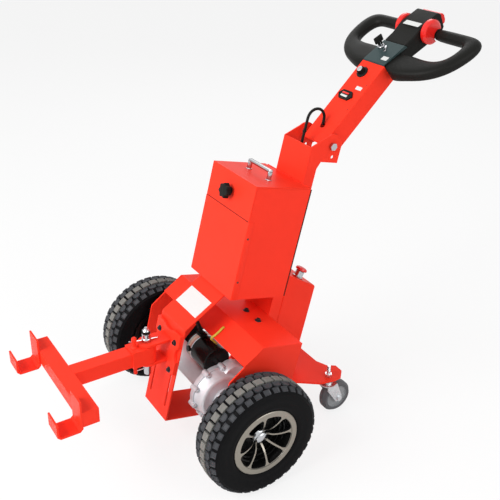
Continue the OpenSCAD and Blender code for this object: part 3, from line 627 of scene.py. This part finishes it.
# %% Blank labels
slope_middle = LEAN @ at(13 - 53.5, 0, -53.5, tip=-45)
labels = [("hood_label", "tiller", "panel_grey", HEAD @ at(156, -4, 26.4), (17, 60, 0.6)),
          ("panel_label", "tiller", "panel_grey", PANEL @ at(21, -24, 0.3), (14, 22, 0.5)),
          ("arm_label", "tiller", "panel_grey", ARM @ at(174, -17, 13.7), (11, 23, 0.5)),
          ("rating_plate", "chassis", "red_paint", slope_middle @ at(0, 0, 0.4), (60, 108, 0.9))]
for name, body, slot, place, size in labels:
    assemble(name, white_label, body, [(slab(size, 0.2, 1), place)])
print("blank labels:", len(labels))

# %% Speed dial
DIAL = ARM @ at(222, 13, ARM_TOP)
RIBS, DOTS = 20, 9
knob = turned([(0, 16), (8.5, 16), (9, 15), (10.5, 4), (14.5, 3), (17, 2.2), (17, 0), (0, 0)], 40)
ribs = [(slab((1.4, 1.2, 11), 0.3, 1), DIAL @ at(0, 0, 0, roll=360 / RIBS * i) @ at(10.2, 0, 9.5))
        for i in range(RIBS)]
assemble("dial_knob", black_moulding, "tiller", [(knob, DIAL)] + ribs, ["speed_dial"])
cap = turned([(0, 17.6), (7, 17.6), (8.2, 17), (8.2, 15.5), (0, 15.5)], 32)
assemble("dial_cap", silver_cap, "tiller", [(cap, DIAL)])
dot_line = [(0, 0.4), (1.1, 0.4), (1.1, 0), (0, 0)]
stud_line = [(0, 0.5), (1.4, 0.5), (1.4, 0), (0, 0)]
dots = [(turned(dot_line, 8), DIAL @ at(0, 0, 0, roll=210 + 37.5 * i) @ at(21.5, 0, 0))
        for i in range(DOTS)]
studs = [(turned(stud_line, 10), ARM @ at(x, -34, ARM_TOP)) for x in (190, 106)]
assemble("dial_dots", dark_steel, "tiller", dots + studs)
print("dial dots:", DOTS)

# %% Charge gauge
GAUGE = ARM @ at(142, 7, ARM_TOP)
six_sides = [(-14, -16), (0, -28), (14, -16), (14, 16), (0, 28), (-14, 16)]
bm = bmesh.new()
outline = bm.faces.new([bm.verts.new((x, y, 0)) for x, y in six_sides])
raised = bmesh.ops.extrude_face_region(bm, geom=[outline])["geom"]
bmesh.ops.translate(bm, vec=(0, 0, 6), verts=only(VERT, raised))
bmesh.ops.inset_region(bm, faces=only(FACE, raised)[:1], thickness=2.5, depth=-1.4)
bmesh.ops.recalc_face_normals(bm, faces=bm.faces)
round_edges(bm, bm.edges[:], 0.6, 2)
bmesh.ops.transform(bm, verts=bm.verts, matrix=GAUGE)
show(bm, "gauge_bezel", black_moulding, "tiller", ["charge_gauge"])
assemble("gauge_window", red_moulding, "tiller",
         [(slab((5, 26, 1.4), 0.4), GAUGE @ at(5, 2, 5.0))])
assemble("gauge_strip", white_label, "tiller",
         [(slab((6, 26, 1.2), 0.4), GAUGE @ at(-4, 2, 5.0))])
print("gauge set")


# %% [markdown]
# ## The drive under the saddle
# The bright gear casing is a drum on the axle tube, with lugs for its screws and a foot on
# the spine plate. A black motor lies beside it, with a brown band, brush caps and two leads
# that run up under the sloping plate. A striped earth lead comes out over the saddle's flap.
# Turned profiles along the axle give casing and motor their steps.

# %% Gear casing with its tube, lobe, lugs and foot
def across(x, y, z):
    return GROUND @ Matrix.Translation((x, y, z)) @ about_x(-90)


AXLE_Z, LUG_RADIUS, LUG_Y = 165, 77, -100
casing_line = [(16, 0), (36, 0), (37, 1), (37, 112), (62, 112), (66, 113.5), (69, 117),
               (73, 149), (74, 151), (77, 151), (78, 152), (78, 166), (77, 167), (60, 167),
               (50, 169), (42, 177), (37, 192), (37, 483), (36, 484), (16, 484), (16, 0)]
lobe_line = [(0, 0), (36, 0), (39, 1.2), (40, 4), (42, 38), (41, 40), (0, 40)]
lug_line = [(0, 0), (7, 0), (8, 1), (8, 24), (0, 24)]
lug_angles = [math.radians(77 + 38 * i) for i in range(7)]
lug_spots = [(LUG_RADIUS * math.cos(a), LUG_Y, AXLE_Z + LUG_RADIUS * math.sin(a)) for a in lug_angles]
casing = [(turned(casing_line, 72), across(0, -242, AXLE_Z)),
          (turned(lobe_line, 48), across(42, -116, AXLE_Z + 42))]
casing += [(turned(lug_line, 20), across(*spot)) for spot in lug_spots]
casing.append((slab((44, 47, 30), 3), GROUND @ at(0, 0, AXLE_Z, tip=LEAN_TILT) @ at(0, -102, -75.4)))
assemble("casing_body", cast_alloy, "chassis", casing, ["gear_casing"])
print("casing lugs:", len(lug_spots))

# %% Motor with its band and rings
MOTOR = across(9, -75, 253)
motor_line = [(0, 0), (39, 0), (41, 2), (41, 74), (39, 75), (38, 76), (38, 93), (41, 94),
              (42, 96), (42, 100), (36, 107), (16, 108), (14, 110), (14, 115), (12, 117), (0, 117)]
brush_line = [(0, 5), (7, 5), (8.5, 4), (9, 0), (9, -6), (0, -6)]
band_line = [(38, 77), (41.6, 77.5), (42, 78.5), (42, 91), (41.6, 92), (38, 92.5), (38, 77)]
ring_lines = [[(40.5, 73), (42, 73.4), (42, 76.2), (40.5, 76.6), (40.5, 73)],
              [(40.5, 93), (42.2, 93.4), (42.2, 95.6), (40.5, 96), (40.5, 93)]]
brushes = [(turned(brush_line, 24), MOTOR @ at(0, 0, 0, roll=roll) @ at(41, 0, 85, tip=90))
           for roll in (191, 11)]
assemble("motor_body", black_lacquer, "chassis",
         [(turned(motor_line, 64), MOTOR)] + brushes, ["motor"])
assemble("motor_band", brown_band, "chassis", [(turned(band_line, 64), MOTOR)])
assemble("motor_rings", bright_chrome, "chassis",
         [(turned(ring_line, 64), MOTOR) for ring_line in ring_lines])
print("motor dressed, brush caps:", len(brushes))

# %% Motor leads and earth lead
leads = [(tube([(13 - 3 * t, y - t, 290 + 7.5 * t) for t in range(9)], 4.5, 10), GROUND)
         for y in (4, 14)]
lead_block = (slab((20, 30, 10), 2.5), GROUND @ at(9, 9, 297))
assemble("motor_leads", black_moulding, "chassis", leads + [lead_block])
earth_route = [(30, -52, -163), (14, -58, -150), (1, -62, -140), (-2, -66, -132), (4, -69, -126),
               (10, -70, -119.5), (17.5, -70, -111.5), (24, -69, -104.6), (29, -68, -103)]
assemble("earth_lead", striped_sleeve, "chassis", [(tube(earth_route, 3.2, 10), LEAN)])
print("leads:", len(leads) + 1)


# %% [markdown]
# ## Fasteners
# Black socket screws hold the saddle and the hitch plate, small round ones the front cover,
# zinc ones the casing. A screw is a turned head, most with a round socket; all screws of one
# finish make one piece. Two thin flanges fold the front cover round the sides of the box.

# %% Socket screws on deck, hitch plate, casing and cover
def socket_screw(radius, height):
    r, h = radius, height
    return turned([(0, h * 0.45), (r * 0.5, h * 0.45), (r * 0.52, h), (r * 0.86, h), (r, h * 0.85),
                   (r, 1.5), (r * 1.5, 1.4), (r * 1.6, 0.6), (r * 1.6, 0), (0, 0)], 24)


def on_box_side(side, height):
    return LEAN @ Matrix.Translation((9.7, side * 106.8, height)) @ about_x(-90 * side)


cover_line = [(0, 1.6), (1.8, 1.4), (2.6, 0.6), (2.8, 0), (0, 0)]
casing_screw = [(0, 2.4), (2.6, 2.4), (2.8, 5), (4.6, 5), (5.2, 4.2), (5.2, 0), (0, 0)]
deck = [(socket_screw(6, 7), LEAN @ at(128, y, -82)) for y in (-85, -24, 85)]
hitch_plate = [(socket_screw(5.5, 6), LEAN @ at(-102.5, y, w, tip=-90))
               for w in (-152, -235) for y in (42.5, -42.5)]
cover = [(turned(cover_line, 16), on_box_side(side, w)) for side in (-1, 1) for w in (52, 175)]
assemble("black_screws", dark_steel, "chassis", deck + hitch_plate + cover)
assemble("casing_screws", zinc_plate, "chassis",
         [(turned(casing_screw, 20), GROUND @ Matrix.Translation(spot) @ about_x(90)) for spot in lug_spots])
print("screws:", len(deck + hitch_plate + cover) + len(lug_spots))

# %% Front cover flanges of the battery box
flanges = [(slab((19, 1.3, 219), 0.5), LEAN @ at(9.5, side * 106.1, 111)) for side in (-1, 1)]
assemble("cover_flanges", red_coat, "chassis", flanges)
print("cover flanges:", len(flanges))

# %% [markdown]
# ## Lid fittings
# A bent flat bar is the lid's handle, and a lobed knob clamps its skirt. Thin dark strips are
# painted shade: they stand in for the shadow in the gap under the skirt and at the back edges of the box.

# %% Handle
LID_TOP, HANDLE_X = 317, 76
handle = [(slab((12, 102, 9), 2.6, 3), LEAN @ at(HANDLE_X, -2, LID_TOP + 24.5))]
for y in (-49, 45):
    handle.append((slab((12, 8, 26), 2.6, 3), LEAN @ at(HANDLE_X, y, LID_TOP + 13)))
    handle.append((slab((15, 11, 2), 0.6), LEAN @ at(HANDLE_X, y, LID_TOP + 1)))
assemble("lid_bar", bright_chrome, "lid", handle, ["lid_handle"])
print("handle pieces:", len(handle))

# %% Star knob and painted shade strips in the box's gaps
KNOB = LEAN @ at(0, 0, 269, tip=-90)
LOBES, KNOB_RADIUS, LOBE_HEIGHT = 7, 19, 2
star = bmesh.new()
for v in bmesh.ops.create_circle(star, cap_ends=True, segments=56, radius=1)["verts"]:
    turn = math.atan2(v.co.y, v.co.x)
    reach = KNOB_RADIUS + LOBE_HEIGHT * math.cos(LOBES * turn)
    v.co = Vector((math.cos(turn), math.sin(turn), 0)) * reach
raised = bmesh.ops.extrude_face_region(star, geom=star.faces[:])["geom"]
bmesh.ops.translate(star, vec=(0, 0, 15), verts=only(VERT, raised))
bmesh.ops.recalc_face_normals(star, faces=star.faces)
round_edges(star, only(FACE, raised)[0].edges[:], 3, 3)
stem = turned([(0, 12), (9, 12), (9, 0), (0, 0)], 24)
assemble("star_knob", black_moulding, "lid",
         [(star, KNOB @ at(0, 0, 11)), (stem, KNOB)], ["lid_knob"], smooth=40)
# painted shade: dark strips where the gap under the lid's skirt and the box's back edges fall into shadow
joints = [(slab((1.6, 209, 2.4), 0.3, 1), LEAN @ at(0.5, 0, 221.4))]
joints += [(slab((4, 1, 312), 0.3, 1), LEAN @ at(179.6, side * 105.3, 158)) for side in (-1, 1)]
assemble("painted_gap_shade", painted_seam_shade, "chassis", joints)
print("knob lobes:", LOBES, "joint lines:", len(joints))

# %% [markdown]
# ## Stop button, pins and tiller cable
# The stop button has a red mushroom on a chrome collar. The pin on which the hitch swings
# carries a black band and two wire clips, and a slim red pin drops through the receiver.
# Threads show over the nuts of the casters. The tiller cable leaves the column, loops over
# and goes into the arm; it is one tube along its route.

# %% Stop button
BUTTON = LEAN @ at(272, -38, 23.9, tip=19)
collar_line = [(0, 0), (16, 0), (16.5, 1), (16.5, 4), (15, 5), (13, 5.5), (13, 20), (11, 21), (0, 21)]
mushroom_line = [(0, 20), (9, 20), (10, 22), (16, 22.5), (17.5, 24), (17.5, 27), (16, 30),
                 (12, 32), (6, 33), (0, 33)]
assemble("stop_collar", bright_chrome, "chassis", [(turned(collar_line, 40), BUTTON)])
assemble("stop_mushroom", red_moulding, "chassis",
         [(turned(mushroom_line, 40), BUTTON)], ["stop_button"])
print("stop button set")

# %% Hitch pin with its band and wire clips
PIN = GROUND @ Matrix.Translation((-167, 0, 305))
pin_line = [(0, -72), (8, -72), (10, -70), (10, -48), (13, -47), (13, -36), (10, -35), (10, 35),
            (13, 36), (13, 44), (11.5, 46), (11.5, 58), (10, 59), (10, 68), (7, 72), (4.5, 74),
            (4.5, 77), (3, 78), (0, 78)]
pin_band = [(9, 59.5), (11.2, 60), (11.2, 67), (9, 68.5), (9, 59.5)]
upper_clip = [(-50, 0, 49), (-46, 1, 46), (-38, 1, 45), (0, 0, 39.5), (20, 0, 36.8), (33, 0, 35)]
lower_clip = [(-34, 0, -52), (0, 0, -52), (24, 0, -52)]
assemble("pivot_pin", bright_chrome, "chassis", [(turned(pin_line, 32), PIN)], ["hitch_pin"])
assemble("pin_clips", zinc_plate, "hitch",
         [(tube(clip, 1.6, 8), PIN) for clip in (upper_clip, lower_clip)])
assemble("pin_band", black_moulding, "chassis", [(turned(pin_band, 32), PIN)])
print("hitch pin set")

# %% Drop pin and caster threads
DROP = GROUND @ Matrix.Translation((-203, 0, 0))
drop_line = [(0, 244), (3.5, 244), (5, 246), (5, 274), (9, 279), (9, 331), (5, 336), (4.5, 346),
             (6.5, 349), (7.5, 354.5), (6.5, 360), (3.5, 363), (0, 363)]
assemble("slim_drop_pin", red_coat, "hitch",
         [(turned(drop_line, 24), DROP)], ["drop_pin"])
CREST, ROOT, HALF_PITCH, THREAD_FOOT, FLANKS = 5.5, 4.7, 1.1, 147, 18
flanks = [(CREST if i % 2 else ROOT, THREAD_FOOT + HALF_PITCH * i) for i in range(FLANKS + 1)]
thread_line = [(0, THREAD_FOOT)] + flanks + [(0, 166.8)]
stems = [(turned(thread_line, 20), GROUND @ Matrix.Translation((344.6, side * 162, 0)))
         for side in (-1, 1)]
assemble("stem_threads", bright_chrome, "chassis", stems)
print("threaded stems:", len(stems))

# %% Tiller cable
CABLE_X, CABLE_Y, CABLE_FOOT = 203.0, 7, 376
CABLE_CROWN, CABLE_END, CABLE_BEND = 478, 464, 28.6


def cable_route():
    x, y, r, rise = CABLE_X, CABLE_Y, CABLE_BEND, CABLE_CROWN - CABLE_FOOT
    angles = [math.pi * i / 16 for i in range(17)]
    up = [(x, y, CABLE_FOOT + rise * i / 8) for i in range(8)]
    over = [(x + r - r * math.cos(a), y, CABLE_CROWN + r * math.sin(a)) for a in angles]
    down = [(x + 2 * r, y, CABLE_END + 7), (x + 2 * r, y, CABLE_END)]
    return [LEAN @ Vector(q) for q in up + over + down]


route = cable_route()
bm = tube(route, 4 * MM, 14)
mesh = bpy.data.meshes.new("tiller_lead")
bm.to_mesh(mesh)
bm.free()
mesh.shade_smooth()
mesh.materials.append(black_moulding)
lead = bpy.data.objects.new("tiller_lead", mesh)
bpy.context.scene.collection.objects.link(lead)
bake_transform(lead)
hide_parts("tiller_cable")
gland_line = [(0, 0), (9, 0), (9, 4), (7, 6), (6.5, 12), (5, 14), (0, 14)]
ferrule_line = [(4.2, 0), (5.4, 0.5), (5.4, 5), (4.2, 5.5), (4.2, 0)]
assemble("cable_gland", black_moulding, "chassis",
         [(turned(gland_line, 28), LEAN @ at(CABLE_X, CABLE_Y, CABLE_FOOT)),
          (turned(ferrule_line, 20), LEAN @ at(CABLE_X, CABLE_Y, 440))])

# %% [markdown]
# ## Studio and camera
# The photograph was taken from the front right, above the box. The camera repeats that
# place and lens, found by fitting known corners. Floor and surroundings are pale, and the
# floor shines a little towards the camera only, so that it stays white without lighting
# the part from below.

# %% Pale floor
FLOOR_HALF, FLOOR_GREY, FLOOR_SHINE = 30, 0.86, 0.8
bm = bmesh.new()
bmesh.ops.create_grid(bm, x_segments=1, y_segments=1, size=FLOOR_HALF)
floor_mesh = bpy.data.meshes.new("floor")
bm.to_mesh(floor_mesh)
bm.free()
floor = bpy.data.objects.new("floor", floor_mesh)
bpy.context.scene.collection.objects.link(floor)
paper = bpy.data.materials.new("paper")
paper.use_nodes = True
pt = paper.node_tree
sheet = pt.nodes["Principled BSDF"]
sheet.inputs["Base Color"].default_value = (FLOOR_GREY, FLOOR_GREY, FLOOR_GREY, 1)
sheet.inputs["Roughness"].default_value = 0.9
glow = pt.nodes.new("ShaderNodeEmission")
seen_by = pt.nodes.new("ShaderNodeLightPath")
lift = pt.nodes.new("ShaderNodeMath")
lift.operation = "MULTIPLY"
lift.inputs[1].default_value = FLOOR_SHINE
pt.links.new(seen_by.outputs["Is Camera Ray"], lift.inputs[0])
whiter = pt.nodes.new("ShaderNodeMixShader")
pt.links.new(lift.outputs["Value"], whiter.inputs[0])
pt.links.new(sheet.outputs["BSDF"], whiter.inputs[1])
pt.links.new(glow.outputs["Emission"], whiter.inputs[2])
pt.links.new(whiter.outputs["Shader"], pt.nodes["Material Output"].inputs["Surface"])
floor_mesh.materials.append(paper)
print("floor set")

# %% White surroundings
AMBIENT, SEEN_WHITE = 0.55, 1.0
world = bpy.data.worlds.new("studio")
bpy.context.scene.world = world
world.use_nodes = True
wt = world.node_tree
sky = wt.nodes["Background"]
rays = wt.nodes.new("ShaderNodeLightPath")
seen = wt.nodes.new("ShaderNodeMath")
seen.operation = "MAXIMUM"
wt.links.new(rays.outputs["Is Camera Ray"], seen.inputs[0])
wt.links.new(rays.outputs["Is Glossy Ray"], seen.inputs[1])
level = wt.nodes.new("ShaderNodeMapRange")
level.inputs["To Min"].default_value = AMBIENT
level.inputs["To Max"].default_value = SEEN_WHITE
wt.links.new(seen.outputs["Value"], level.inputs["Value"])
wt.links.new(level.outputs["Result"], sky.inputs["Strength"])
sky.inputs["Color"].default_value = (1, 1, 1, 1)
print("surroundings set")

# %% Three lamps
LAMP_AIM = Vector((0.05, 0, 0.5))
# name, place, size, power
lamps = [("key", (-3.0, -0.1, 2.4), 2.2, 122),
         ("fill", (1.2, -3.2, 1.8), 2.5, 40),
         ("rim light", (2.0, 2.4, 2.6), 2.0, 18)]
for name, place, size, power in lamps:
    lamp = bpy.data.lights.new(name, "AREA")
    lamp.size = size
    lamp.energy = power
    light = bpy.data.objects.new(name, lamp)
    light.location = place
    light.rotation_euler = (LAMP_AIM - Vector(place)).to_track_quat("-Z", "Y").to_euler()
    bpy.context.scene.collection.objects.link(light)
print("lamps:", len(lamps))

# %% Camera where the photographer stood
SENSOR, PHOTO_WIDTH, FOCAL_PIXELS = 36, 500, 761.17
CAMERA_PLACE = (axle.x - 0.88498, -1.55883, 1.50663)
AZIMUTH, ELEVATION, ROLL = (math.radians(d) for d in (-33.8, 27.52, 1.72))
lens = bpy.data.cameras.new("photo view")
camera = bpy.data.objects.new("photo view", lens)
bpy.context.scene.collection.objects.link(camera)
bpy.context.scene.camera = camera
lens.sensor_width = SENSOR
lens.lens = SENSOR * FOCAL_PIXELS / PHOTO_WIDTH
back = Vector((math.sin(AZIMUTH) * math.cos(ELEVATION), -math.cos(AZIMUTH) * math.cos(ELEVATION),
               math.sin(ELEVATION)))
level_right = Vector((math.cos(AZIMUTH), math.sin(AZIMUTH), 0))
level_up = back.cross(level_right)
right = math.cos(ROLL) * level_right + math.sin(ROLL) * level_up
up = math.cos(ROLL) * level_up - math.sin(ROLL) * level_right
camera.matrix_world = Matrix.Translation(CAMERA_PLACE) @ Matrix((right, up, back)).transposed().to_4x4()
bpy.context.scene.view_settings.view_transform = "Standard"
print("camera at", [round(c, 3) for c in camera.matrix_world.translation])
